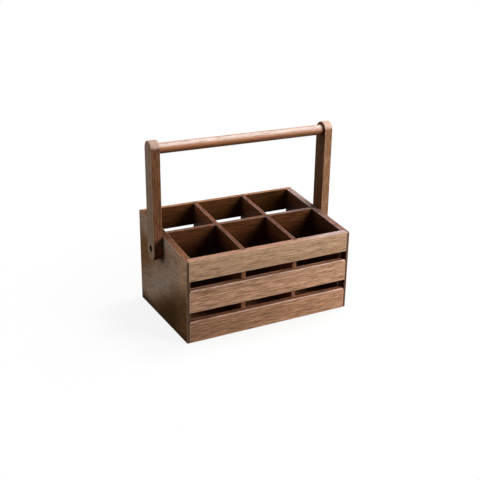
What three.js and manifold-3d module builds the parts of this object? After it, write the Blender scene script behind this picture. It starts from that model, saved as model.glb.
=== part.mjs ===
// Wooden cutlery caddy with six bays and a swing handle.
// Two end panels, whose rim rises towards the back, hold three slats at the front and
// three at the back in rebates. A floor, a long divider and cross dividers stand inside.
// Millimetres, +Z up, +X along the caddy, front towards -Y.
// The origin is the middle of the caddy, on the table.

import * as THREE from 'three';
import { mergeVertices } from 'three/addons/utils/BufferGeometryUtils.js';
import Module from 'manifold-3d';

const wasm = await Module();
wasm.setup();

// Basket
const basketLength = 260; // over the end panels
const basketDepth = 168; // over the slats
const frontRimHeight = 120;
const backRimHeight = 142;

// End panels
const panelThickness = 10;
const lipThickness = 4; // left standing outside the ends of the slats

// Slats
const frontSlatThickness = 9;
const frontBottomSlatWidth = 32;
const frontMiddleSlatWidth = 33;
const frontSlatGap = 12.8;
const backSlatThickness = 6;
const backSlatWidth = 35;
const slatCornerRadius = 4; // at the upper ends of the slats below the rim
const slatTopRadius = 2.5; // along their upper front edge

// Floor and dividers
const floorThickness = 6;
const floorHeight = 6; // underside above the table
const dividerThickness = 6;
const bayCount = 3; // along the caddy
const longDividerOffset = 5; // behind the middle
const housingDepth = 3; // of every groove that takes an edge of the floor or a divider

// Handle
const uprightWidth = 24;
const uprightThickness = 13;
const pivotBelowRim = 20.6; // where an upright crosses the rim
const pivotToEnd = 17.5; // down to the round lower end of an upright
const gripReach = 141.4; // from the pivot up to the middle of the rod
const rodDiameter = 15;
const rodSocketDepth = 8;

// Pivot hardware
const screwDiameter = 5;
const screwHeadDiameter = 8.4;
const screwHeadHeight = 4;
const hexAcrossFlats = 4;
const hexDepth = 2.5;
const counterboreDiameter = 9.2;
const counterboreDepth = 6.5;
const washerDiameter = 14;
const washerThickness = 0.8;
const insertDiameter = 8;

// Clearances
const jointGap = 0.15; // round every glued joint
const turnGap = 0.3; // round a screw in what turns on it or takes it
const faceGap = 0.1; // beside a washer and under a screw head

// Eased edges
const edgeEase = 0.8;
const edgeSteps = 2;
const cornerEase = 1.5 * edgeEase; // at the corners of a board whose faces are eased too
const easeSteps = 2; // round a slightly eased corner
const cornerSteps = 5; // round the upper corners of a slat
const endSteps = 16; // round the half circle at the end of an upright
const turnedSides = 36; // of rods, bores and screws
const overrun = 10; // of each cutter past the face that it enters

// Colours
const walnutTan = 0xa98262;
const walnutBrown = 0x93694a;
const walnutDark = 0x6d4c34;
const walnutGrey = 0x6e5b4a;
const rodRed = 0xa8714e;
const blackSteel = 0x17161a;
const bareSteel = 0x9a9a9c;
const brass = 0xb08d4c;

// Places that several pieces share
const endX = basketLength / 2;
const innerX = endX - panelThickness;
const frontY = -basketDepth / 2;
const backY = basketDepth / 2;
const frontInnerY = frontY + frontSlatThickness;
const backInnerY = backY - backSlatThickness;
const floorTop = floorHeight + floorThickness;
const uprightInnerX = endX + washerThickness + 2 * faceGap;
const uprightOuterX = uprightInnerX + uprightThickness;
const rimSlope = (backRimHeight - frontRimHeight) / basketDepth;
const rimAt = (y) => frontRimHeight + rimSlope * (y - frontY);
const pivotY = longDividerOffset; // the screws line up with the long divider
const pivotHeight = rimAt(pivotY) - pivotBelowRim;
const dividerPitch = (2 * innerX + dividerThickness) / bayCount;
const crossDividerX = [];
for (let i = 1; i < bayCount; i += 1) crossDividerX.push(dividerPitch * (i - bayCount / 2));
const housingCut = housingDepth + jointGap;
const housingAt = (middle) => [
  middle - dividerThickness / 2 - jointGap,
  middle + dividerThickness / 2 + jointGap,
];
const halvingHeight = (floorTop + rimAt(longDividerOffset)) / 2;

const alongX = new THREE.Matrix4().makeBasis(
  new THREE.Vector3(0, 1, 0),
  new THREE.Vector3(0, 0, 1),
  new THREE.Vector3(1, 0, 0),
);
const alongY = new THREE.Matrix4().makeBasis(
  new THREE.Vector3(1, 0, 0),
  new THREE.Vector3(0, 0, 1),
  new THREE.Vector3(0, -1, 0),
);

// Closed outline through corners [u, v, radius], anticlockwise, each rounded to its own radius
function roundedOutline(corners) {
  const shape = new THREE.Shape();
  corners.forEach(([u, v, radius], i) => {
    const corner = new THREE.Vector2(u, v);
    const [previousU, previousV] = corners[(i + corners.length - 1) % corners.length];
    const [nextU, nextV] = corners[(i + 1) % corners.length];
    const toPrevious = new THREE.Vector2(previousU, previousV).sub(corner).normalize();
    const toNext = new THREE.Vector2(nextU, nextV).sub(corner).normalize();
    const halfAngle = Math.acos(toPrevious.dot(toNext)) / 2;
    const setback = radius / Math.tan(halfAngle);
    const inward = toPrevious.clone().add(toNext).normalize();
    const centre = corner.clone().addScaledVector(inward, radius / Math.sin(halfAngle));
    const from = corner.clone().addScaledVector(toPrevious, setback).sub(centre).angle();
    const to = corner.clone().addScaledVector(toNext, setback).sub(centre).angle();
    shape.absarc(centre.x, centre.y, radius, from, to, false);
  });
  shape.closePath();
  return shape;
}

// ease rounds the two ends' edges, and steps is the count of facets in each arc of the outline
function extrude(shape, length, ease, steps) {
  return new THREE.ExtrudeGeometry(shape, {
    depth: length - 2 * ease,
    curveSegments: steps,
    bevelEnabled: ease > 0,
    bevelThickness: ease,
    bevelSize: ease,
    bevelOffset: -ease,
    bevelSegments: edgeSteps,
  }).translate(0, 0, ease);
}

// A (y, z) outline drawn out from x = start to x = end
function drawnAlongX(shape, start, end, { ease = 0, steps = easeSteps } = {}) {
  return extrude(shape, end - start, ease, steps).translate(0, 0, start).applyMatrix4(alongX);
}

// An (x, z) outline drawn out from y = start to y = end
function drawnAlongY(shape, start, end, { ease = 0, steps = easeSteps } = {}) {
  return extrude(shape, end - start, ease, steps).translate(0, 0, -end).applyMatrix4(alongY);
}

function block([x0, x1], [y0, y1], [z0, z1]) {
  const geometry = new THREE.BoxGeometry(Math.abs(x1 - x0), Math.abs(y1 - y0), Math.abs(z1 - z0));
  return geometry.translate((x0 + x1) / 2, (y0 + y1) / 2, (z0 + z1) / 2);
}

// A cylinder along X
function turned(diameter, [x0, x1], [y, z]) {
  const geometry = new THREE.CylinderGeometry(diameter / 2, diameter / 2, Math.abs(x1 - x0), turnedSides);
  return geometry.rotateZ(-Math.PI / 2).translate((x0 + x1) / 2, y, z);
}

// A profile of [radius, x] points, turned about the X axis
function turnedProfile(points) {
  const profile = points.map(([radius, x]) => new THREE.Vector2(radius, x));
  return new THREE.LatheGeometry(profile, turnedSides).rotateZ(-Math.PI / 2);
}

function toSolid(geometry) {
  const bare = geometry.clone();
  bare.deleteAttribute('normal');
  bare.deleteAttribute('uv');
  const merged = mergeVertices(bare, 1e-4);
  const corners = merged.index.array;
  const triangles = [];
  for (let i = 0; i < corners.length; i += 3) {
    const [a, b, c] = corners.slice(i, i + 3);
    if (a !== b && b !== c && c !== a) triangles.push(a, b, c); // those at a pole have no area
  }
  return new wasm.Manifold(new wasm.Mesh({
    numProp: 3,
    vertProperties: new Float32Array(merged.attributes.position.array),
    triVerts: new Uint32Array(triangles),
  }));
}

function toGeometry(solid) {
  const { vertProperties, triVerts } = solid.getMesh();
  const geometry = new THREE.BufferGeometry();
  geometry.setAttribute('position', new THREE.BufferAttribute(vertProperties, 3));
  geometry.setIndex(new THREE.BufferAttribute(triVerts, 1));
  return geometry;
}

function cut(geometry, tools) {
  return toGeometry(tools.reduce((solid, tool) => solid.subtract(toSolid(tool)), toSolid(geometry)));
}

function common(first, second) {
  return toGeometry(toSolid(first).intersect(toSolid(second)));
}

function part(name, geometry, color, roughness = 0.5, metalness = 0) {
  const flat = geometry.index ? geometry.toNonIndexed() : geometry;
  flat.computeVertexNormals();
  const mesh = new THREE.Mesh(flat, new THREE.MeshStandardMaterial({ color, roughness, metalness }));
  mesh.name = name;
  return mesh;
}

// End panel: a board with a rising rim, rebated for the slats and grooved for what stands inside.
// side is -1 at the left and 1 at the right.
function endPanelGeometry(side) {
  const outline = roundedOutline([
    [frontY, 0, cornerEase],
    [backY, 0, cornerEase],
    [backY, backRimHeight, cornerEase],
    [frontY, frontRimHeight, cornerEase],
  ]);
  const [start, end] = side < 0 ? [-endX, -innerX] : [innerX, endX];
  const board = drawnAlongX(outline, start, end, { ease: edgeEase });
  const fromInside = (depth) => [side * (innerX - overrun), side * (innerX + depth)];
  const rebate = fromInside(panelThickness - lipThickness);
  const housing = fromInside(housingCut);
  const fullHeight = [-overrun, backRimHeight + overrun];
  return cut(board, [
    block(rebate, [frontY - overrun, frontInnerY + jointGap], fullHeight),
    block(rebate, [backInnerY - jointGap, backY + overrun], fullHeight),
    block(housing, [frontInnerY, backInnerY], [floorHeight - jointGap, floorTop + jointGap]),
    block(housing, housingAt(longDividerOffset), [floorHeight, backRimHeight + overrun]),
    turned(insertDiameter + 2 * jointGap, [side * innerX, side * (endX + overrun)], [pivotY, pivotHeight]),
  ]);
}

// Slat: face and inner are the y of its outer face and of its back. A slat below the rim has round
// upper corners and a round upper outer edge. With no top given, it is planed to the rim instead.
function slatGeometry(face, inner, bottom, top) {
  const outward = Math.sign(face);
  const meetsRim = top === undefined;
  const reach = endX - lipThickness - jointGap;
  const [frontFace, backFace] = outward < 0 ? [face, inner] : [inner, face];
  const topAt = (y) => (meetsRim ? rimAt(y) : top);
  const topRadius = (y) => (y === face && !meetsRim ? slatTopRadius : edgeEase);
  const section = roundedOutline([
    [frontFace, bottom, edgeEase],
    [backFace, bottom, edgeEase],
    [backFace, topAt(backFace), topRadius(backFace)],
    [frontFace, topAt(frontFace), topRadius(frontFace)],
  ]);
  const board = drawnAlongX(section, -reach, reach, { steps: cornerSteps });
  const fromBack = [inner + outward * housingCut, inner - outward * overrun];
  const housingBottom = Math.max(bottom - overrun, floorHeight);
  const cutters = crossDividerX.map((x) => (
    block(housingAt(x), fromBack, [housingBottom, backRimHeight + overrun])
  ));
  if (bottom < floorTop) {
    cutters.push(block([-endX, endX], fromBack, [floorHeight - jointGap, floorTop + jointGap]));
  }
  const grooved = cut(board, cutters);
  if (meetsRim) return grooved;
  const endOutline = roundedOutline([
    [-reach, bottom, edgeEase],
    [reach, bottom, edgeEase],
    [reach, top, slatCornerRadius],
    [-reach, top, slatCornerRadius],
  ]);
  const ends = drawnAlongY(endOutline, frontFace - overrun, backFace + overrun, { steps: cornerSteps });
  return common(grooved, ends);
}

function floorGeometry() {
  const reach = innerX + housingDepth;
  const depth = [frontInnerY - housingDepth, backInnerY + housingDepth];
  return block([-reach, reach], depth, [floorHeight, floorTop]);
}

// Cross divider: housed in the slats, notched from below to straddle the long divider
function crossDividerGeometry(x) {
  const start = frontInnerY - housingDepth;
  const end = backInnerY + housingDepth;
  const outline = roundedOutline([
    [start, floorTop, cornerEase],
    [end, floorTop, cornerEase],
    [end, rimAt(end), cornerEase],
    [start, rimAt(start), cornerEase],
  ]);
  const left = x - dividerThickness / 2;
  const right = x + dividerThickness / 2;
  const board = drawnAlongX(outline, left, right, { ease: edgeEase });
  const notch = [left - overrun, right + overrun];
  return cut(board, [block(notch, housingAt(longDividerOffset), [0, halvingHeight + jointGap])]);
}

// Long divider: housed in the end panels, notched from above for the cross dividers
function longDividerGeometry() {
  const reach = innerX + housingDepth;
  const top = rimAt(longDividerOffset);
  const outline = roundedOutline([
    [-reach, floorTop, cornerEase],
    [reach, floorTop, cornerEase],
    [reach, top, cornerEase],
    [-reach, top, cornerEase],
  ]);
  const front = longDividerOffset - dividerThickness / 2;
  const back = longDividerOffset + dividerThickness / 2;
  const board = drawnAlongY(outline, front, back, { ease: edgeEase });
  const notch = [front - overrun, back + overrun];
  return cut(board, crossDividerX.map((x) => (
    block(housingAt(x), notch, [halvingHeight, backRimHeight + overrun])
  )));
}

// Handle upright, about the pivot: a flat bar with half-round ends, bored for the rod and the screw
function uprightGeometry(side) {
  const halfWidth = uprightWidth / 2;
  const shape = new THREE.Shape();
  shape.absarc(0, halfWidth - pivotToEnd, halfWidth, Math.PI, 2 * Math.PI, false);
  shape.absarc(0, gripReach, halfWidth, 0, Math.PI, false);
  shape.closePath();
  const inner = side * uprightInnerX;
  const outer = side * uprightOuterX;
  const [start, end] = side < 0 ? [outer, inner] : [inner, outer];
  const bar = drawnAlongX(shape, start, end, { ease: edgeEase, steps: endSteps });
  const past = side * overrun;
  return cut(bar, [
    turned(screwDiameter + 2 * turnGap, [inner - past, outer + past], [0, 0]),
    turned(counterboreDiameter, [outer - side * counterboreDepth, outer + past], [0, 0]),
    turned(rodDiameter + 2 * jointGap, [inner - past, inner + side * rodSocketDepth], [0, gripReach]),
  ]);
}

function rodGeometry() {
  const reach = uprightInnerX + rodSocketDepth - jointGap;
  const radius = rodDiameter / 2;
  return turnedProfile([
    [0, -reach],
    [radius - edgeEase, -reach],
    [radius, edgeEase - reach],
    [radius, reach - edgeEase],
    [radius - edgeEase, reach],
    [0, reach],
  ]).translate(0, 0, gripReach);
}

// Socket-head screw, drawn for the right-hand side with its tip towards -X
function screwGeometry() {
  const seat = uprightOuterX - counterboreDepth + faceGap;
  const headTop = seat + screwHeadHeight;
  const tip = innerX + housingCut + jointGap;
  const radius = screwDiameter / 2;
  const headRadius = screwHeadDiameter / 2;
  const body = turnedProfile([
    [0, tip],
    [radius - edgeEase, tip],
    [radius, tip + edgeEase],
    [radius, seat],
    [headRadius, seat],
    [headRadius, headTop - edgeEase / 2],
    [headRadius - edgeEase / 2, headTop],
    [0, headTop],
  ]);
  const hexRadius = hexAcrossFlats / Math.sqrt(3);
  const hex = new THREE.CylinderGeometry(hexRadius, hexRadius, 2 * hexDepth, 6);
  return cut(body, [hex.rotateZ(-Math.PI / 2).translate(headTop, 0, 0)]);
}

function ringGeometry(outerDiameter, boreDiameter, start, end) {
  return turnedProfile([
    [boreDiameter / 2, start],
    [outerDiameter / 2, start],
    [outerDiameter / 2, end],
    [boreDiameter / 2, end],
    [boreDiameter / 2, start],
  ]);
}

const caddy = new THREE.Group();
caddy.name = 'cutlery_caddy';

const basket = new THREE.Group();
basket.name = 'basket';
basket.add(part('end_panel_left', endPanelGeometry(-1), walnutGrey));
basket.add(part('end_panel_right', endPanelGeometry(1), walnutGrey));

const frontSlat = (bottom, top) => slatGeometry(frontY, frontInnerY, bottom, top);
const middleBottom = frontBottomSlatWidth + frontSlatGap;
const middleTop = middleBottom + frontMiddleSlatWidth;
basket.add(part('front_slat_bottom', frontSlat(0, frontBottomSlatWidth), walnutBrown));
basket.add(part('front_slat_middle', frontSlat(middleBottom, middleTop), walnutBrown));
basket.add(part('front_slat_top', frontSlat(middleTop + frontSlatGap), walnutTan));

const backSlat = (bottom, top) => slatGeometry(backY, backInnerY, bottom, top);
const backPitch = (backRimHeight - backSlatWidth) / 2; // three slats with two equal gaps
basket.add(part('back_slat_bottom', backSlat(0, backSlatWidth), walnutBrown));
basket.add(part('back_slat_middle', backSlat(backPitch, backPitch + backSlatWidth), walnutBrown));
basket.add(part('back_slat_top', backSlat(2 * backPitch), walnutBrown));

basket.add(part('floor_panel', floorGeometry(), walnutDark));
basket.add(part('long_divider', longDividerGeometry(), walnutDark));
crossDividerX.forEach((x, i) => {
  basket.add(part(`cross_divider_${i + 1}`, crossDividerGeometry(x), walnutDark));
});

// The handle turns about the X axis of its own group
const handle = new THREE.Group();
handle.name = 'handle';
handle.position.set(0, pivotY, pivotHeight);
handle.add(part('handle_upright_left', uprightGeometry(-1), walnutBrown));
handle.add(part('handle_upright_right', uprightGeometry(1), walnutBrown));
handle.add(part('handle_rod', rodGeometry(), rodRed, 0.42));

// Each set of pivot hardware is turned half round for the left-hand side
const boreDiameter = screwDiameter + 2 * turnGap;
for (const [name, turn] of [['left', Math.PI], ['right', 0]]) {
  const pivot = new THREE.Group();
  pivot.position.set(0, pivotY, pivotHeight);
  pivot.rotation.z = turn;
  const washerStart = endX + faceGap;
  const washer = ringGeometry(washerDiameter, boreDiameter, washerStart, washerStart + washerThickness);
  const insert = ringGeometry(insertDiameter, boreDiameter, innerX + housingCut, endX);
  pivot.add(part(`pivot_screw_${name}`, screwGeometry(), blackSteel, 0.45, 0.8));
  pivot.add(part(`pivot_washer_${name}`, washer, bareSteel, 0.4, 0.9));
  pivot.add(part(`threaded_insert_${name}`, insert, brass, 0.4, 0.9));
  basket.add(pivot);
}

caddy.add(basket, handle);

export default caddy;
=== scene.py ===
import math
from types import SimpleNamespace

import bmesh
import bpy
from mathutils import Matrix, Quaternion, Vector


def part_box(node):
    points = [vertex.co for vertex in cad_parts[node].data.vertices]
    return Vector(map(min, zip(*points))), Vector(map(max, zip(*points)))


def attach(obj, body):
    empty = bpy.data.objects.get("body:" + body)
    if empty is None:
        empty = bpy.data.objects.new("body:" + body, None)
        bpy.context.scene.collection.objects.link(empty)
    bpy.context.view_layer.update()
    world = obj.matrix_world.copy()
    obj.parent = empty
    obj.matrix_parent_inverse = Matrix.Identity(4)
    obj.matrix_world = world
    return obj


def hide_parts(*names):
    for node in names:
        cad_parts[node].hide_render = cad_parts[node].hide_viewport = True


# Spoon holder in walnut: six bays, slatted front and back, and a swing handle.
# The length runs along X, the front looks along -Y, and all sizes are in metres.

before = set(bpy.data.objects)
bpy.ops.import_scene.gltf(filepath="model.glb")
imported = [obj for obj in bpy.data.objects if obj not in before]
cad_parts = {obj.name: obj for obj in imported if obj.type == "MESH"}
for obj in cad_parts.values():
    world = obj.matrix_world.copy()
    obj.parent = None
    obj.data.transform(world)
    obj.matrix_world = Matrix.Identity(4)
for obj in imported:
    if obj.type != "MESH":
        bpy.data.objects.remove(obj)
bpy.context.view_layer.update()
scene = bpy.context.scene
print("frame loaded:", len(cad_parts), "nodes")

# places on the solids that the wear, the painted light and the painted shade follow
depth = 0.168
frontRim = 0.120
backRim = 0.142
rimSlope = (backRim - frontRim) / depth
rimMiddle = (backRim + frontRim) / 2
pivotPlace = (0.0, 0.005, 0.111055)


# small helpers for node trees

def linear(red, green, blue):
    # a colour as a paint program shows it, 0 to 255, made ready for a shader socket
    values = []
    for value in (red, green, blue):
        value = value / 255
        values.append(value / 12.92 if value <= 0.04045 else ((value + 0.055) / 1.055) ** 2.4)
    return (values[0], values[1], values[2], 1.0)


def emptyMaterial(name):
    material = bpy.data.materials.new(name)
    material.use_nodes = True
    material.node_tree.nodes.clear()
    return material, material.node_tree


def setInput(tree, socket, value):
    if isinstance(value, bpy.types.NodeSocket):
        tree.links.new(value, socket)
    else:
        socket.default_value = value


def addNode(tree, kind, inputs=None, **settings):
    node = tree.nodes.new(kind)
    for key, value in settings.items():
        setattr(node, key, value)
    for key, value in (inputs or {}).items():
        setInput(tree, node.inputs[key], value)
    return node


def toOutput(tree, surface, kind="ShaderNodeOutputMaterial"):
    tree.links.new(surface, tree.nodes.new(kind).inputs[0])


def calc(tree, operation, first, second=0.0, third=0.0):
    inputs = {0: first, 1: second, 2: third}
    return addNode(tree, "ShaderNodeMath", inputs, operation=operation).outputs[0]


def times(tree, first, second):
    return calc(tree, "MULTIPLY", first, second)


def varied(tree, base, noise, amount):
    # the base, moved up and down by a noise that runs from 0 to 1
    return calc(tree, "MULTIPLY_ADD", calc(tree, "SUBTRACT", noise, 0.5), amount, base)


def fade(tree, value, span, start, end):
    # goes gently from start to end while the value crosses the span
    return addNode(tree, "ShaderNodeMapRange", {
        "Value": value, "From Min": span[0], "From Max": span[1], "To Min": start, "To Max": end,
    }, interpolation_type="SMOOTHSTEP").outputs[0]


def vectorCalc(tree, operation, first, second=(0.0, 0.0, 0.0), output=0):
    inputs = {0: first, 1: second}
    return addNode(tree, "ShaderNodeVectorMath", inputs, operation=operation).outputs[output]


def separate(tree, vector):
    return addNode(tree, "ShaderNodeSeparateXYZ", {0: vector}).outputs


def radiusAboutX(tree, vector):
    return vectorCalc(tree, "LENGTH", vectorCalc(tree, "MULTIPLY", vector, (0.0, 1.0, 1.0)), output=1)


def stretched(tree, vector, scale, shift):
    inputs = {"Vector": vector, "Location": shift, "Scale": scale}
    return addNode(tree, "ShaderNodeMapping", inputs).outputs[0]


def stretchedNoise(tree, vector, scale, shift=(0.0, 0.0, 0.0), detail=2.0, rough=0.5, output=0):
    return addNode(tree, "ShaderNodeTexNoise", {
        "Vector": stretched(tree, vector, scale, shift),
        "Scale": 1.0, "Detail": detail, "Roughness": rough,
    }).outputs[output]


def mixColour(tree, factor, first, second, blend="MIX"):
    return addNode(tree, "ShaderNodeMix", {0: factor, 6: first, 7: second},
                   data_type="RGBA", blend_type=blend).outputs[2]


def ramp(tree, factor, places, colours):
    node = addNode(tree, "ShaderNodeValToRGB", {0: factor})
    stops = node.color_ramp.elements
    while len(stops) < len(places):
        stops.new(0.5)
    for stop, place, colour in zip(stops, places, colours):
        stop.position = place
        stop.color = colour
    return node.outputs[0]


# oiled walnut: what every board shares, and what a board's own look may change

walnut = {
    # figure: counts are per metre, and a share says how strongly that part shows
    "lean": (0.0, 0.02, 0.03),
    "wander": 0.0016,
    "ringStep": 0.0042,
    "ringShare": 0.16,
    "bandShare": 0.6,
    "lengthShade": 0.0,
    "fibreShare": 2.0,
    "fibreLength": 42,
    "fibreCount": 950,
    "dashShare": 0.75,
    "dashCount": 900,
    "redShare": 0.4,
    # broad faces: inward is the way from a board into the holder
    "inward": None,
    "innerShadedColour": (106, 66, 40),
    "outerSheenColour": None,
    "sheenPaint": None,
    # top edges, painted lighter or darker as light falls on them
    "topColourAndLight": (180, 124, 96),
    "topLightShare": 0.75,
    "topBackLightAndShade": None,
    "topFarSheenColour": None,
    "handleShadowShare": 0.0,
    # painted highlights and painted shade
    "highlightShare": 0.0,
    "underShadeShare": 0.0,
    "crestHighlightShare": 0.0,
    # painted shade inside the bays, and painted light near the front gaps
    "bayShade": 0.0,
    "bayShadeSpan": (0.06, 0.15),
    "gapLight": 0.0,
    # ends and arrises, with painted sheen and shade on the handle's ends, and painted highlight on arrises
    "endGrainAndSheenColour": (80, 64, 56),
    "endShare": 0.85,
    "endTurn": (0.7, 0.98),
    "lowerEndShadeColour": None,
    "arrisWearHighlightColour": (220, 176, 152),
    "arrisWearHighlightShare": 0.5,
    "bored": False,
    # oil and polish
    "rough": 0.46,
    "roughSpread": 0.2,
    "shine": 0.15,
    "coat": 0.0,
    "bump": 0.22,
}

# the grain: rings about a heart beside the board, bands, fibres, dark dashes and open pores
# a scale counts features per metre, first along the grain and then across it

grainAxis = {"X": (1.0, 0.0, 0.0), "Y": (0.0, 1.0, 0.0), "Z": (0.0, 0.0, 1.0)}
grainTurn = {
    "X": (0.0, 0.0, 0.0),
    "Y": (0.0, 0.0, math.radians(90)),
    "Z": (0.0, math.radians(-90), 0.0),
}
figure = {
    "seedScale": (7, 31, 47),
    "seedStart": (3.1, 1.7, 5.3),
    "swayScale": (7, 22, 22),
    "unevenScale": (1.2, 60, 60),
    "unevenShare": 1.6,
    "ringPower": 2.5,
    "ringEnd": (0.9, 1.0),
    "bandScale": (1.8, 42, 42),
    "dashLength": 80,
    "dashSpan": (0.53, 0.68),
    "dashShade": 0.4,
    "poreScale": (150, 1400, 1400),
    "poreSpan": (0.08, 0.3),
    "poreInRing": -0.7,
    "poreShare": 0.45,
    "poreColour": (40, 24, 15),
    "redScale": (6, 170, 170),
    "redSpan": (0.42, 0.66),
    "redTint": (1.04, 0.84, 0.72, 1.0),
    "patchScale": (70, 70, 70),
    "toneStops": (0.1, 0.5, 0.9),
    "toneShades": (0.36, 1.0, 1.62),
    "shadePowers": (1.0, 1.12, 1.25),
}


def walnutFigure(tree, look, grain, middle):
    # where a point lies on its board and in the trunk, and which grain shows there
    coordinates = tree.nodes.new("ShaderNodeTexCoord").outputs
    wood = SimpleNamespace(look=look, place=coordinates["Object"], normal=coordinates["Normal"])
    wood.at = separate(tree, wood.place)
    wood.facing = separate(tree, wood.normal)
    heart = look["heart"]
    seed = tuple(part * scale + start
                 for part, scale, start in zip(heart, figure["seedScale"], figure["seedStart"]))
    along = addNode(tree, "ShaderNodeMapping", {
        "Vector": wood.place, "Location": middle, "Rotation": grainTurn[grain],
    }, vector_type="TEXTURE").outputs[0]

    # the fibres wander slowly across the board
    sway = stretchedNoise(tree, along, figure["swayScale"], seed, output=1)
    sway = vectorCalc(tree, "SUBTRACT", sway, (0.5, 0.5, 0.5))
    sway = vectorCalc(tree, "MULTIPLY", sway, (0.0, look["wander"], look["wander"]))
    fibres = vectorCalc(tree, "ADD", along, sway)

    # growth rings round the heart of the tree, each darker towards its end
    trunk = addNode(tree, "ShaderNodeMapping", {
        "Vector": fibres, "Location": (0.0, heart[1], heart[2]), "Rotation": look["lean"],
    }).outputs[0]
    uneven = stretchedNoise(tree, fibres, figure["unevenScale"], seed, detail=1.0)
    grown = calc(tree, "MULTIPLY_ADD", radiusAboutX(tree, trunk), 1 / look["ringStep"],
                 times(tree, uneven, figure["unevenShare"]))
    late = calc(tree, "FRACT", grown)
    wood.ring = times(tree, calc(tree, "POWER", late, figure["ringPower"]),
                      fade(tree, late, figure["ringEnd"], 1.0, 0.0))

    # broad colour bands, fine fibres, dark dashes and open pores
    band = stretchedNoise(tree, fibres, figure["bandScale"], seed)
    fibreScale = (look["fibreLength"], look["fibreCount"], look["fibreCount"])
    wood.fibre = stretchedNoise(tree, fibres, fibreScale, seed, detail=4.0, rough=0.6)
    dashScale = (figure["dashLength"], look["dashCount"], look["dashCount"])
    dash = stretchedNoise(tree, fibres, dashScale, seed)
    wood.dash = fade(tree, dash, figure["dashSpan"], 0.0, 1.0)
    cells = addNode(tree, "ShaderNodeTexVoronoi", {
        "Vector": stretched(tree, fibres, figure["poreScale"], seed), "Scale": 1.0,
    }).outputs["Distance"]
    pore = fade(tree, cells, figure["poreSpan"], 1.0, 0.0)
    wood.pore = times(tree, pore, calc(tree, "MULTIPLY_ADD", wood.ring, figure["poreInRing"], 1.0))

    # how pale the wood is here, how red, and how worn
    wood.tone = varied(tree, 0.5, band, look["bandShare"])
    wood.tone = varied(tree, wood.tone, wood.fibre, look["fibreShare"])
    wood.tone = calc(tree, "MULTIPLY_ADD", wood.ring, -look["ringShare"], wood.tone)
    if look["lengthShade"]:
        # painted light and shade: one end of the board is painted darker than the other, as the lamps fall
        # off along it
        wood.tone = calc(tree, "MULTIPLY_ADD", separate(tree, along)[0], look["lengthShade"], wood.tone)
    red = stretchedNoise(tree, fibres, figure["redScale"], seed, rough=0.6)
    wood.red = fade(tree, red, figure["redSpan"], 0.0, look["redShare"])
    wood.patch = stretchedNoise(tree, wood.place, figure["patchScale"], seed, detail=3.0, rough=0.6)
    wood.seed = seed
    return wood


def shade(colour, factor):
    # a darker shade of brown is also a warmer one, and a lighter one a little paler
    parts = [part * factor ** power for part, power in zip(linear(*colour), figure["shadePowers"])]
    return (parts[0], parts[1], parts[2], 1.0)


def toned(tree, wood, base):
    # one brown with the board's own figure in it
    shades = [shade(base, factor) for factor in figure["toneShades"]]
    plain = ramp(tree, wood.tone, figure["toneStops"], shades)
    return mixColour(tree, wood.red, plain, figure["redTint"], "MULTIPLY")


# colours by place, most of them painted light and shade: a turn is how far a face leans one way, and a
# span is in metres

wearAndLight = {
    "inwardTurn": (0.3, 0.8),
    "outwardTurn": (-0.8, -0.3),
    "topTurn": (0.8, 0.96),
    "topBackSpan": (-0.06, 0.05),
    "handleShadowSpan": (0.012, 0.034),
    "handleShadowColour": (62, 38, 28),
    "highlightTurn": (0.25, 0.62),
    "highlightFlatTurn": (0.78, 0.98),
    "highlightFlatShare": 0.55,
    "underShadeTurn": (-0.5, 0.38),
    "crestHighlightTurn": (0.25, 0.5),
    "crestHighlightFlatTurn": (0.7, 0.86),
    "crestHighlightFrontTurn": (-0.1, 0.1),
    "bayShadeEnd": 0.25,
    "bayShadeFactor": 0.08,
    "gapLightDepth": (-0.08, 0.002),
    "gapLightDepthEnd": 0.55,
    "gapLightHeight": (0.074, 0.096),
    "gapLightColour": (156, 102, 60),
    "lowerEndShadeTurn": (-0.4, -0.04),
    "endShades": (0.8, 1.2),
    "arrisSpan": (0.0, 0.0014),
    "arrisPatch": (0.3, 0.62),
    "arrisLeast": 0.35,
    "boreShadeSpan": (0.0047, 0.005),
    "boreShadeShare": 0.97,
    "boreShadeColour": (10, 6, 4),
}


def paintedSheenAndFootShade(tree, wood, colour):
    # painted sheen: a pale sheen is painted corner to corner over the broad outer face, with painted shade
    # below it towards the foot
    sheenPaint = wood.look["sheenPaint"]
    clouds = stretchedNoise(tree, wood.place, sheenPaint["cloudScale"], wood.seed)
    above = calc(tree, "MULTIPLY_ADD", wood.at[1], sheenPaint["slope"],
                 calc(tree, "SUBTRACT", wood.at[2], sheenPaint["height"]))
    above = varied(tree, above, clouds, sheenPaint["cloudShare"])
    sheenMask = fade(tree, calc(tree, "ABSOLUTE", above), sheenPaint["width"], 1.0, 0.0)
    sheenMask = calc(tree, "MAXIMUM", sheenMask, fade(tree, wood.at[2], sheenPaint["rimSheenSpan"], 0.0, sheenPaint["rimSheenShare"]))
    sheenMask = times(tree, sheenMask, fade(tree, wood.at[1], sheenPaint["backSpan"], 1.0, sheenPaint["backShare"]))
    sheenMask = times(tree, times(tree, sheenMask, sheenPaint["share"]), wood.outside)
    front = fade(tree, wood.at[1], sheenPaint["frontSpan"], 1.0, 0.0)
    tint = mixColour(tree, front, toned(tree, wood, sheenPaint["colour"]),
                     toned(tree, wood, sheenPaint["frontSheenColour"]))
    colour = mixColour(tree, sheenMask, colour, tint)
    footShade = times(tree, fade(tree, above, sheenPaint["footShadeBelow"], sheenPaint["footShadeShare"], 0.0),
                 fade(tree, wood.at[1], sheenPaint["footShadeFrontSpan"], sheenPaint["footShadeFrontShare"], 1.0))
    footShade = calc(tree, "MAXIMUM", footShade,
                fade(tree, wood.at[2], sheenPaint["footShadeHeight"], sheenPaint["footShadeHeightShare"], 0.0))
    return mixColour(tree, times(tree, footShade, wood.outside), colour,
                     toned(tree, wood, sheenPaint["footShadeColour"]))


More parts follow.
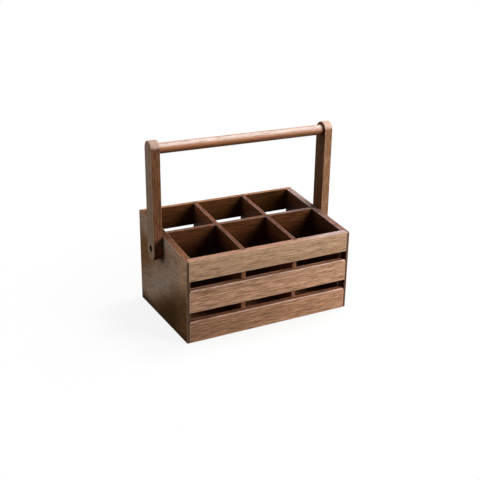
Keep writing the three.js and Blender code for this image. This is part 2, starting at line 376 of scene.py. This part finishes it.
def faceColours(tree, wood):
    look = wood.look
    colour = toned(tree, wood, look["colour"])
    # painted shade: faces turned into the holder are painted in a darker inner colour
    if look["inward"]:
        towards = vectorCalc(tree, "DOT_PRODUCT", wood.normal, look["inward"], output=1)
        wood.inside = fade(tree, towards, wearAndLight["inwardTurn"], 0.0, 1.0)
        wood.outside = fade(tree, towards, wearAndLight["outwardTurn"], 1.0, 0.0)
        colour = mixColour(tree, wood.inside, colour, toned(tree, wood, look["innerShadedColour"]))
    # painted sheen: the outer faces of the uprights are painted greyer
    if look["outerSheenColour"]:
        colour = mixColour(tree, wood.outside, colour, toned(tree, wood, look["outerSheenColour"]))
    if look["sheenPaint"]:
        colour = paintedSheenAndFootShade(tree, wood, colour)
    return colour


def topEdgeLightAndShade(tree, wood, colour):
    # painted light: faces that look up are painted in the top colour, lit pale or shaded dark, and paler
    # or darker towards the back
    look = wood.look
    top = toned(tree, wood, look["topColourAndLight"])
    if look["topBackLightAndShade"]:
        backLight = fade(tree, wood.at[1], wearAndLight["topBackSpan"], 0.0, 1.0)
        top = mixColour(tree, backLight, top, toned(tree, wood, look["topBackLightAndShade"]))
    if look["topFarSheenColour"]:
        # painted sheen: the top edge is painted pale towards its right end
        farSheen = fade(tree, wood.at[0], look["topFarSheenSpan"], 0.0, 1.0)
        top = mixColour(tree, farSheen, top, toned(tree, wood, look["topFarSheenColour"]))
    if look["handleShadowShare"]:
        # painted shadow: the rim is painted dark beside the handle, where the handle shades it
        fromHandle = calc(tree, "ABSOLUTE", calc(tree, "SUBTRACT", wood.at[1], pivotPlace[1]))
        handleShadow = fade(tree, fromHandle, wearAndLight["handleShadowSpan"], look["handleShadowShare"], 0.0)
        top = mixColour(tree, handleShadow, top, toned(tree, wood, wearAndLight["handleShadowColour"]))
    level = fade(tree, wood.facing[2], wearAndLight["topTurn"], 0.0, look["topLightShare"])
    return mixColour(tree, level, colour, top)


def paintedHighlightsAndShade(tree, wood, colour):
    look = wood.look
    up = wood.facing[2]
    if look["highlightShare"]:
        # painted highlight: the upper side is painted pale
        highlight = times(tree, fade(tree, up, wearAndLight["highlightTurn"], 0.0, look["highlightShare"]),
                      fade(tree, up, wearAndLight["highlightFlatTurn"], 1.0, wearAndLight["highlightFlatShare"]))
        colour = mixColour(tree, highlight, colour, toned(tree, wood, look["highlightColour"]))
    if look["underShadeShare"]:
        # painted shade: the under side is painted darker
        underShade = fade(tree, up, wearAndLight["underShadeTurn"], look["underShadeShare"], 0.0)
        colour = mixColour(tree, underShade, colour, toned(tree, wood, look["underShadeColour"]))
    if look["crestHighlightShare"]:
        # painted highlight: the round upper front edge is painted pale
        crestHighlight = times(tree, fade(tree, up, wearAndLight["crestHighlightTurn"], 0.0, look["crestHighlightShare"]),
                      fade(tree, up, wearAndLight["crestHighlightFlatTurn"], 1.0, 0.0))
        crestHighlight = times(tree, crestHighlight, fade(tree, wood.facing[1], wearAndLight["crestHighlightFrontTurn"], 1.0, 0.0))
        colour = mixColour(tree, crestHighlight, colour, toned(tree, wood, look["crestHighlightColour"]))
    return colour


def dashesAndPores(tree, wood, colour):
    look = wood.look
    colour = mixColour(tree, times(tree, wood.dash, look["dashShare"]), colour,
                       shade(look["colour"], figure["dashShade"]))
    return mixColour(tree, times(tree, wood.pore, figure["poreShare"]), colour,
                     linear(*figure["poreColour"]))


def paintedBayShade(tree, wood, colour):
    # painted shade: what faces a bay is painted darker the deeper it lies
    look = wood.look
    bayShade = fade(tree, wood.at[2], look["bayShadeSpan"], look["bayShade"], look["bayShade"] * wearAndLight["bayShadeEnd"])
    if look["inward"]:
        bayShade = times(tree, bayShade, wood.inside)
    if look["gapLight"]:
        # painted light: the part nearest the front gaps is painted paler, where light comes through them
        reached = fade(tree, wood.at[1], wearAndLight["gapLightDepth"],
                       look["gapLight"], look["gapLight"] * wearAndLight["gapLightDepthEnd"])
        gapLit = times(tree, reached, fade(tree, wood.at[2], wearAndLight["gapLightHeight"], 1.0, 0.0))
        bayShade = times(tree, bayShade, calc(tree, "SUBTRACT", 1.0, gapLit))
        colour = mixColour(tree, gapLit, colour, toned(tree, wood, wearAndLight["gapLightColour"]))
    return mixColour(tree, bayShade, colour, shade(look["innerShadedColour"], wearAndLight["bayShadeFactor"]))


def endGrainAndSheen(tree, wood, colour, grain):
    # end grain drinks more oil and is darker; on the handle's uprights a pale end colour is a painted
    # sheen on the domed top
    look = wood.look
    facing = vectorCalc(tree, "DOT_PRODUCT", wood.normal, grainAxis[grain], output=1)
    if look["lowerEndShadeColour"]:
        # painted shade: the lower, down-facing end is painted dark
        lowerEndShade = fade(tree, facing, wearAndLight["lowerEndShadeTurn"], look["endShare"], 0.0)
        colour = mixColour(tree, lowerEndShade, colour, toned(tree, wood, look["lowerEndShadeColour"]))
    else:
        facing = calc(tree, "ABSOLUTE", facing)
    wood.end = fade(tree, facing, look["endTurn"], 0.0, look["endShare"])
    dark, pale = [linear(*[part * factor for part in look["endGrainAndSheenColour"]]) for factor in wearAndLight["endShades"]]
    return mixColour(tree, wood.end, colour, mixColour(tree, wood.tone, dark, pale))


def edgeDistance(tree, wood, low, high, form):
    # how far a point of the surface is from the nearest long edge of its board
    half = (high - low) / 2
    offset = vectorCalc(tree, "SUBTRACT", wood.place, (low + high) / 2)
    offset = vectorCalc(tree, "ABSOLUTE", offset)
    inset = separate(tree, vectorCalc(tree, "SUBTRACT", half, offset))
    if form == "bar":
        # a flat bar on end, with half-round ends
        across = separate(tree, offset)
        beyond = calc(tree, "MAXIMUM", calc(tree, "SUBTRACT", across[2], half.z - half.y), 0.0)
        reach = calc(tree, "ADD", times(tree, across[1], across[1]), times(tree, beyond, beyond))
        rounded = calc(tree, "SUBTRACT", half.y, calc(tree, "SQRT", reach))
        return calc(tree, "MAXIMUM", inset[0], rounded)
    upDown = inset[2]
    if form == "rising":
        # the top edge rises to the back
        top = calc(tree, "MULTIPLY_ADD", wood.at[1], rimSlope, rimMiddle)
        upDown = calc(tree, "MINIMUM", calc(tree, "SUBTRACT", top, wood.at[2]),
                      calc(tree, "SUBTRACT", wood.at[2], low.z))
    narrow = calc(tree, "MINIMUM", inset[0], inset[1])
    wide = calc(tree, "MAXIMUM", inset[0], inset[1])
    return calc(tree, "MAXIMUM", narrow, calc(tree, "MINIMUM", wide, upDown))


def arrisWearAndHighlight(tree, wood, colour, low, high, form):
    # arrises are painted paler, partly as rubbed wear and partly as painted highlight where they catch the
    # light, a little more in some places than in others
    wornAndLit = fade(tree, edgeDistance(tree, wood, low, high, form), wearAndLight["arrisSpan"], 1.0, 0.0)
    wornAndLit = times(tree, wornAndLit, fade(tree, wood.patch, wearAndLight["arrisPatch"], wearAndLight["arrisLeast"], 1.0))
    return mixColour(tree, times(tree, wornAndLit, wood.look["arrisWearHighlightShare"]), colour,
                     linear(*wood.look["arrisWearHighlightColour"]))


def shadedBore(tree, wood, colour):
    # painted shade: the bored hole is painted dark inside and round its edge
    fromPivot = radiusAboutX(tree, vectorCalc(tree, "SUBTRACT", wood.place, pivotPlace))
    boreShade = fade(tree, fromPivot, wearAndLight["boreShadeSpan"], wearAndLight["boreShadeShare"], 0.0)
    return mixColour(tree, boreShade, colour, linear(*wearAndLight["boreShadeColour"]))


# the oiled surface: rougher in pores and on end grain, with the grain just felt

oiled = {
    "patchRough": 0.22,
    "poreRough": 0.18,
    "endRough": 0.12,
    "fibreHeight": 0.8,
    "poreHeight": -0.9,
    "ringHeight": 0.12,
    "reliefDepth": 0.0004,
    "coatRough": 0.36,
}


def oiledSurface(tree, wood, colour):
    look = wood.look
    rough = varied(tree, look["rough"], wood.fibre, look["roughSpread"])
    rough = varied(tree, rough, wood.patch, oiled["patchRough"])
    rough = calc(tree, "MULTIPLY_ADD", wood.pore, oiled["poreRough"], rough)
    rough = calc(tree, "MULTIPLY_ADD", wood.end, oiled["endRough"], rough)
    height = times(tree, wood.fibre, oiled["fibreHeight"])
    height = calc(tree, "MULTIPLY_ADD", wood.pore, oiled["poreHeight"], height)
    height = calc(tree, "MULTIPLY_ADD", wood.ring, oiled["ringHeight"], height)
    relief = addNode(tree, "ShaderNodeBump", {
        "Strength": look["bump"], "Distance": oiled["reliefDepth"], "Height": height,
    }).outputs[0]
    return addNode(tree, "ShaderNodeBsdfPrincipled", {
        "Base Color": colour, "Roughness": rough, "Normal": relief, "Specular IOR Level": look["shine"],
        "Coat Weight": look["coat"], "Coat Roughness": oiled["coatRough"],
    }).outputs[0]


def walnutMaterial(name, look, low, high, grain, form):
    material, tree = emptyMaterial(name)
    wood = walnutFigure(tree, {**walnut, **look}, grain, (low + high) / 2)
    colour = faceColours(tree, wood)
    colour = topEdgeLightAndShade(tree, wood, colour)
    colour = paintedHighlightsAndShade(tree, wood, colour)
    colour = dashesAndPores(tree, wood, colour)
    if wood.look["bayShade"]:
        colour = paintedBayShade(tree, wood, colour)
    colour = endGrainAndSheen(tree, wood, colour, grain)
    if form != "round":
        colour = arrisWearAndHighlight(tree, wood, colour, low, high, form)
    if wood.look["bored"]:
        colour = shadedBore(tree, wood, colour)
    toOutput(tree, oiledSurface(tree, wood, colour))
    return material


# every piece: a merged copy of the frame's solid, its last crisp edges taken off

easing = {
    "merge": 0.000002,
    "flatAngle": 0.6,
    "crispAngle": 55,
    "smoothAngle": 50,
    "segments": 2,
    "flatWeight": 80,
    "woodEdge": 0.0003,
    "metalEdge": 0.0001,
}


def easedCopy(nodeName, pieceName, edgeWidth):
    shape = bmesh.new()
    shape.from_mesh(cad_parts[nodeName].data)
    bmesh.ops.remove_doubles(shape, verts=shape.verts, dist=easing["merge"])
    bmesh.ops.dissolve_limit(shape, angle_limit=math.radians(easing["flatAngle"]),
                             verts=shape.verts, edges=shape.edges)
    crispAngle = math.radians(easing["crispAngle"])
    crisp = [edge for edge in shape.edges
             if edge.is_manifold and edge.is_convex and edge.calc_face_angle() > crispAngle]
    if crisp:
        bmesh.ops.bevel(shape, geom=crisp, offset=edgeWidth, segments=easing["segments"], profile=0.5,
                        affect="EDGES", clamp_overlap=True, material=-1)
    for face in shape.faces:
        face.smooth = True
    smoothAngle = math.radians(easing["smoothAngle"])
    for edge in shape.edges:
        edge.smooth = edge.is_manifold and edge.calc_face_angle() < smoothAngle
    mesh = bpy.data.meshes.new(pieceName)
    shape.to_mesh(mesh)
    shape.free()
    piece = bpy.data.objects.new(pieceName, mesh)
    scene.collection.objects.link(piece)
    weighted = piece.modifiers.new("flatFaces", "WEIGHTED_NORMAL")
    weighted.keep_sharp = True
    weighted.weight = easing["flatWeight"]
    return piece


def settle(piece, body, material, nodeName):
    piece.data.materials.clear()
    piece.data.materials.append(material)
    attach(piece, body)
    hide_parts(nodeName)


def boardInPlace(nodeName, pieceName, body, look, grain, form="box"):
    low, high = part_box(nodeName)
    piece = easedCopy(nodeName, pieceName, easing["woodEdge"])
    material = walnutMaterial(pieceName + "Walnut", look, low, high, grain, form)
    settle(piece, body, material, nodeName)


# end panels

leftPanelLook = {
    "colour": (110, 78, 48), "heart": (0.1, 0.06, 0.11), "lean": (0.0, 0.01, 0.02),
    "bandShare": 0.2, "ringShare": 0.06, "fibreCount": 1300, "fibreShare": 1.9, "fibreLength": 65,
    "dashShare": 0.45, "shine": 0.003, "rough": 0.5,
    "topColourAndLight": (138, 94, 74), "topBackLightAndShade": (96, 66, 52), "handleShadowShare": 0.6, "arrisWearHighlightShare": 0.4,
    "inward": (1.0, 0.0, 0.0), "bayShade": 0.95,
    # painted sheen over the outer face, and painted shade towards its foot
    "sheenPaint": {
        "share": 0.95, "colour": (146, 126, 110), "frontSheenColour": (166, 132, 106),
        "slope": 0.55, "height": 0.06, "width": (0.004, 0.052),
        "cloudScale": (12, 20, 20), "cloudShare": 0.03,
        "rimSheenSpan": (0.1, 0.12), "rimSheenShare": 0.9, "backSpan": (0.03, 0.084), "backShare": 0.7,
        "frontSpan": (-0.086, -0.03),
        "footShadeColour": (50, 33, 10), "footShadeShare": 0.97, "footShadeBelow": (-0.06, -0.004),
        "footShadeFrontShare": 0.4, "footShadeFrontSpan": (-0.085, -0.03),
        "footShadeHeightShare": 0.92, "footShadeHeight": (0.003, 0.022),
    },
}
rightPanelLook = {
    "colour": (142, 102, 74), "heart": (0.7, 0.05, 0.09), "lean": (0.0, 0.02, -0.02),
    "bandShare": 0.4, "ringShare": 0.12, "shine": 0.02,
    # the pale back of the rim and its pale arrises are painted sheen, and the rim is painted dark in the
    # handle's shadow
    "topColourAndLight": (138, 108, 104), "topBackLightAndShade": (176, 154, 150), "handleShadowShare": 0.3,
    "arrisWearHighlightColour": (222, 204, 202), "arrisWearHighlightShare": 0.55,
    "inward": (-1.0, 0.0, 0.0), "innerShadedColour": (88, 53, 34), "bayShade": 0.97, "gapLight": 0.6,
}
boardInPlace("end_panel_left", "leftEndPanel", "basket", leftPanelLook, "Y", "rising")
boardInPlace("end_panel_right", "rightEndPanel", "basket", rightPanelLook, "Y", "rising")
print("end panels made")

# front slats: the two lower ones have a round upper front edge

slatGrain = {
    "bandShare": 0.35, "redShare": 0.3, "fibreShare": 2.6, "fibreCount": 1500, "dashShare": 0.85,
    "dashCount": 1300,
}
topFrontLook = {
    **slatGrain, "colour": (177, 143, 114), "heart": (0.3, 0.07, 0.02), "lean": (0.0, 0.01, 0.01),
    "lengthShade": 0.32, "redShare": 0.2, "fibreShare": 1.8, "topColourAndLight": (184, 134, 112), "arrisWearHighlightShare": 0.65,
    "topFarSheenColour": (196, 176, 178), "topFarSheenSpan": (0.03, 0.1), "inward": (0.0, 1.0, 0.0), "bayShade": 0.8,
}
crestedLook = {
    **slatGrain, "topColourAndLight": (118, 70, 50), "crestHighlightColour": (206, 176, 168), "crestHighlightShare": 0.8,
    "inward": (0.0, 1.0, 0.0), "bayShade": 0.8,
}
middleFrontLook = {
    **crestedLook, "colour": (178, 138, 110), "heart": (1.3, 0.05, 0.05), "lean": (0.0, -0.02, 0.01),
    "lengthShade": 0.6,
}
bottomFrontLook = {
    **crestedLook, "colour": (169, 127, 98), "heart": (2.1, -0.06, 0.04), "lean": (0.0, 0.02, -0.01),
    "lengthShade": 1.2,
}
boardInPlace("front_slat_top", "topFrontSlat", "basket", topFrontLook, "X")
boardInPlace("front_slat_middle", "middleFrontSlat", "basket", middleFrontLook, "X")
boardInPlace("front_slat_bottom", "bottomFrontSlat", "basket", bottomFrontLook, "X")
print("front slats made")

# back slats

topBackLook = {
    **slatGrain, "colour": (150, 108, 78), "heart": (2.9, 0.08, 0.03), "lean": (0.0, 0.01, -0.01),
    "inward": (0.0, -1.0, 0.0), "innerShadedColour": (94, 57, 29), "bayShade": 0.85, "shine": 0.02,
}
middleBackLook = {
    **slatGrain, "colour": (148, 106, 76), "heart": (3.7, 0.06, -0.04), "lean": (0.0, -0.01, 0.02),
    "inward": (0.0, -1.0, 0.0), "bayShade": 0.97,
}
bottomBackLook = {
    **slatGrain, "colour": (144, 102, 72), "heart": (4.3, -0.05, 0.06), "lean": (0.0, 0.02, 0.01),
    "inward": (0.0, -1.0, 0.0), "bayShade": 0.97,
}
boardInPlace("back_slat_top", "topBackSlat", "basket", topBackLook, "X")
boardInPlace("back_slat_middle", "middleBackSlat", "basket", middleBackLook, "X")
boardInPlace("back_slat_bottom", "bottomBackSlat", "basket", bottomBackLook, "X")
print("back slats made")

# dividers and floor

dividerLook = {
    "colour": (108, 66, 40), "bayShade": 0.96, "gapLight": 1.0, "shine": 0.02,
    "endGrainAndSheenColour": (116, 78, 56), "topColourAndLight": (158, 106, 84), "arrisWearHighlightColour": (214, 178, 162),
}
longDividerLook = {
    **dividerLook, "heart": (5.1, 0.04, 0.07), "topFarSheenColour": (188, 166, 168), "topFarSheenSpan": (0.04, 0.09),
}
leftDividerLook = {**dividerLook, "heart": (5.9, 0.06, 0.05)}
rightDividerLook = {
    **dividerLook, "colour": (106, 64, 39), "heart": (6.7, -0.05, 0.06), "topColourAndLight": (168, 122, 104),
}
floorLook = {
    "colour": (118, 82, 56), "heart": (7.3, 0.09, 0.02), "shine": 0.05,
    "inward": (0.0, 0.0, 1.0), "innerShadedColour": (112, 76, 50), "bayShade": 0.96, "gapLight": 0.6,
}
boardInPlace("long_divider", "longDivider", "basket", longDividerLook, "X")
boardInPlace("cross_divider_1", "leftDivider", "basket", leftDividerLook, "Y", "rising")
boardInPlace("cross_divider_2", "rightDivider", "basket", rightDividerLook, "Y", "rising")
boardInPlace("floor_panel", "floorPanel", "basket", floorLook, "X")
print("dividers and floor made")

# handle

leftUprightLook = {
    "colour": (116, 78, 54), "heart": (8.1, 0.05, 0.04), "shine": 0.02, "topLightShare": 0.0,
    "bandShare": 0.25, "ringShare": 0.06, "fibreShare": 1.9, "fibreLength": 75, "dashShare": 0.8,
    # painted sheen: the pale end colour on the domed top; painted shade: the dark lower end
    "redShare": 0.3, "endGrainAndSheenColour": (206, 176, 160), "endShare": 0.8, "endTurn": (0.06, 0.45),
    "lowerEndShadeColour": (74, 48, 30), "arrisWearHighlightShare": 0.3, "bored": True,
    "inward": (1.0, 0.0, 0.0), "outerSheenColour": (126, 102, 80),
}
rightUprightLook = {
    **leftUprightLook, "colour": (142, 105, 78), "heart": (8.9, -0.04, 0.06), "inward": (-1.0, 0.0, 0.0),
    # painted shade: the inner face, turned to the panel, is painted darker throughout
    "innerShadedColour": (118, 79, 52), "bayShade": 0.5, "bayShadeSpan": (0.27, 0.28),
}
rodLook = {
    "colour": (178, 120, 80), "heart": (9.7, 0.03, 0.05), "ringStep": 0.0032, "ringShare": 0.08,
    "bandShare": 0.3, "fibreShare": 0.8, "dashShare": 0.6, "lengthShade": -0.4, "topLightShare": 0.0,
    # painted highlight along the upper side, and painted shade underneath
    "highlightColour": (232, 213, 205), "highlightShare": 0.9, "underShadeColour": (92, 56, 32), "underShadeShare": 0.95,
    "rough": 0.5, "roughSpread": 0.06, "shine": 0.1, "coat": 0.25, "bump": 0.05,
}
boardInPlace("handle_upright_left", "leftUpright", "handle", leftUprightLook, "Z", "bar")
boardInPlace("handle_upright_right", "rightUpright", "handle", rightUprightLook, "Z", "bar")
boardInPlace("handle_rod", "gripRod", "handle", rodLook, "X", "round")
print("handle made")

# pivots: turned metal with marks of the lathe, counted per metre from the pivot's axis

turned = {
    "spotScale": (900, 900, 900),
    "spotShare": 1.6,
    "spotRough": 0.5,
    "toneStops": (0.2, 0.55, 0.85),
    "bump": 0.3,
    "reliefDepth": 0.0001,
}
screwLook = {
    "marks": 3000, "metal": 0.3, "rough": 0.6, "tones": ((4, 4, 5), (10, 10, 11), (26, 26, 28)),
}
washerLook = {
    "marks": 4500, "metal": 1.0, "rough": 0.34,
    "tones": ((150, 150, 152), (186, 187, 190), (216, 217, 220)),
}
insertLook = {
    "marks": 3800, "metal": 1.0, "rough": 0.36,
    "tones": ((150, 112, 54), (194, 152, 82), (226, 190, 122)),
}


def turnedMetal(name, look):
    material, tree = emptyMaterial(name)
    place = tree.nodes.new("ShaderNodeTexCoord").outputs["Object"]
    radius = radiusAboutX(tree, vectorCalc(tree, "SUBTRACT", place, pivotPlace))
    marks = addNode(tree, "ShaderNodeTexNoise", {
        "W": times(tree, radius, look["marks"]), "Scale": 1.0, "Detail": 2.0,
    }, noise_dimensions="1D").outputs[0]
    spots = stretchedNoise(tree, place, turned["spotScale"], detail=4.0, rough=0.65)
    tones = [linear(*tone) for tone in look["tones"]]
    colour = ramp(tree, varied(tree, marks, spots, turned["spotShare"]), turned["toneStops"], tones)
    relief = addNode(tree, "ShaderNodeBump", {
        "Strength": turned["bump"], "Distance": turned["reliefDepth"],
        "Height": calc(tree, "ADD", marks, spots),
    }).outputs[0]
    toOutput(tree, addNode(tree, "ShaderNodeBsdfPrincipled", {
        "Base Color": colour, "Metallic": look["metal"],
        "Roughness": varied(tree, look["rough"], spots, turned["spotRough"]), "Normal": relief,
    }).outputs[0])
    return material


blackOxide = turnedMetal("blackOxide", screwLook)
plainSteel = turnedMetal("plainSteel", washerLook)
turnedBrass = turnedMetal("turnedBrass", insertLook)
for side in ("left", "right"):
    for node, piece, slot, metal in (
        ("pivot_screw_", "PivotScrew", "black_screw", blackOxide),
        ("pivot_washer_", "PivotWasher", "steel_washer", plainSteel),
        ("threaded_insert_", "ThreadedInsert", "brass_insert", turnedBrass),
    ):
        fitting = easedCopy(node + side, side + piece, easing["metalEdge"])
        settle(fitting, "basket", metal, node + side)
print("pivots made")

# stage: a pale floor, which keeps the soft shadow, and a white surround

floorPaint = {
    "radius": 14.0,
    "sides": 96,
    "bounce": (95, 95, 95),
    "card": (0.95, 0.95, 0.95, 1.0),
    "shadowShare": 0.14,
    "shadowSpan": (0.13, 0.42),
}
white = (1.0, 1.0, 1.0, 1.0)


def seenOrMirrored(tree):
    # 1 for what the camera sees, also by way of gloss and glass, and 0 for light on the holder
    paths = tree.nodes.new("ShaderNodeLightPath").outputs
    mirrored = calc(tree, "MAXIMUM", paths["Is Glossy Ray"], paths["Is Transmission Ray"])
    return calc(tree, "MAXIMUM", paths["Is Camera Ray"], mirrored)


def paleFloor():
    shape = bmesh.new()
    bmesh.ops.create_circle(shape, cap_ends=True,
                            segments=floorPaint["sides"], radius=floorPaint["radius"])
    mesh = bpy.data.meshes.new("paleFloor")
    shape.to_mesh(mesh)
    shape.free()
    floor = bpy.data.objects.new("paleFloor", mesh)
    scene.collection.objects.link(floor)
    material, tree = emptyMaterial("paleFloorPaint")
    place = tree.nodes.new("ShaderNodeTexCoord").outputs["Object"]
    reach = vectorCalc(tree, "LENGTH", place, output=1)
    whiteShare = fade(tree, reach, floorPaint["shadowSpan"], 1 - floorPaint["shadowShare"], 1.0)
    glow = addNode(tree, "ShaderNodeEmission", {"Color": white, "Strength": 1.0}).outputs[0]
    card = addNode(tree, "ShaderNodeBsdfDiffuse", {"Color": floorPaint["card"]}).outputs[0]
    bounce = addNode(tree, "ShaderNodeBsdfDiffuse", {"Color": linear(*floorPaint["bounce"])}).outputs[0]
    shown = addNode(tree, "ShaderNodeMixShader", {0: whiteShare, 1: card, 2: glow}).outputs[0]
    both = addNode(tree, "ShaderNodeMixShader", {0: seenOrMirrored(tree), 1: bounce, 2: shown})
    toOutput(tree, both.outputs[0])
    mesh.materials.append(material)


def whiteSurround(strength):
    world = bpy.data.worlds.new("whiteSurround")
    world.use_nodes = True
    tree = world.node_tree
    tree.nodes.clear()
    light = addNode(tree, "ShaderNodeBackground", {0: white, 1: strength}).outputs[0]
    shown = addNode(tree, "ShaderNodeBackground", {0: white, 1: 1.0}).outputs[0]
    both = addNode(tree, "ShaderNodeMixShader", {0: seenOrMirrored(tree), 1: light, 2: shown})
    toOutput(tree, both.outputs[0], "ShaderNodeOutputWorld")
    scene.world = world


# a lamp's level is how bright a white card facing it at the holder would look

studio = {
    "surround": 0.12,
    "aim": (0.0, 0.0, 0.1),
    "lamps": {
        "frontLamp": {"place": (0.75, -0.9, 0.5), "size": 0.7, "level": 1.1, "tint": (1.0, 0.98, 0.95)},
        "topLamp": {"place": (0.62, 0.2, 1.35), "size": 0.6, "level": 0.7, "tint": (1.0, 0.98, 0.96)},
        "leftLamp": {"place": (-1.1, 0.3, 0.45), "size": 0.7, "level": 0.45, "tint": (0.98, 0.99, 1.0)},
    },
}


def softLamp(name, look):
    data = bpy.data.lights.new(name, "AREA")
    data.shape = "DISK"
    data.size = look["size"]
    data.color = look["tint"]
    offset = Vector(look["place"]) - Vector(studio["aim"])
    data.energy = look["level"] * math.pi ** 2 * offset.length_squared
    lamp = bpy.data.objects.new(name, data)
    scene.collection.objects.link(lamp)
    lamp.location = look["place"]
    lamp.rotation_mode = "QUATERNION"
    lamp.rotation_quaternion = offset.to_track_quat("Z", "Y")
    lamp.visible_camera = False


paleFloor()
whiteSurround(studio["surround"])
for lampName, look in studio["lamps"].items():
    softLamp(lampName, look)
print("stage and lamps made")

# camera, at the photograph's place: angles in degrees, lens and sensor in millimetres

cameraView = {
    "target": (-0.005621, 0.0, 0.101612),
    "distance": 1.145167,
    "turn": 28.199,
    "height": 21.084,
    "roll": 0.666,
    "lens": 58.31,
    "sensor": 36.0,
    "nearest": 0.02,
    "farthest": 60.0,
}


def placeCamera():
    data = bpy.data.cameras.new("photoCamera")
    data.lens = cameraView["lens"]
    data.sensor_width = cameraView["sensor"]
    data.clip_start = cameraView["nearest"]
    data.clip_end = cameraView["farthest"]
    camera = bpy.data.objects.new("photoCamera", data)
    scene.collection.objects.link(camera)
    turn = math.radians(cameraView["turn"])
    height = math.radians(cameraView["height"])
    level = math.cos(height)
    ahead = Vector((math.sin(turn) * level, math.cos(turn) * level, -math.sin(height)))
    camera.location = Vector(cameraView["target"]) - ahead * cameraView["distance"]
    camera.rotation_mode = "QUATERNION"
    roll = Quaternion((0.0, 0.0, 1.0), math.radians(cameraView["roll"]))
    camera.rotation_quaternion = ahead.to_track_quat("-Z", "Y") @ roll
    scene.camera = camera


placeCamera()
scene.view_settings.view_transform = "Standard"
print("camera placed")
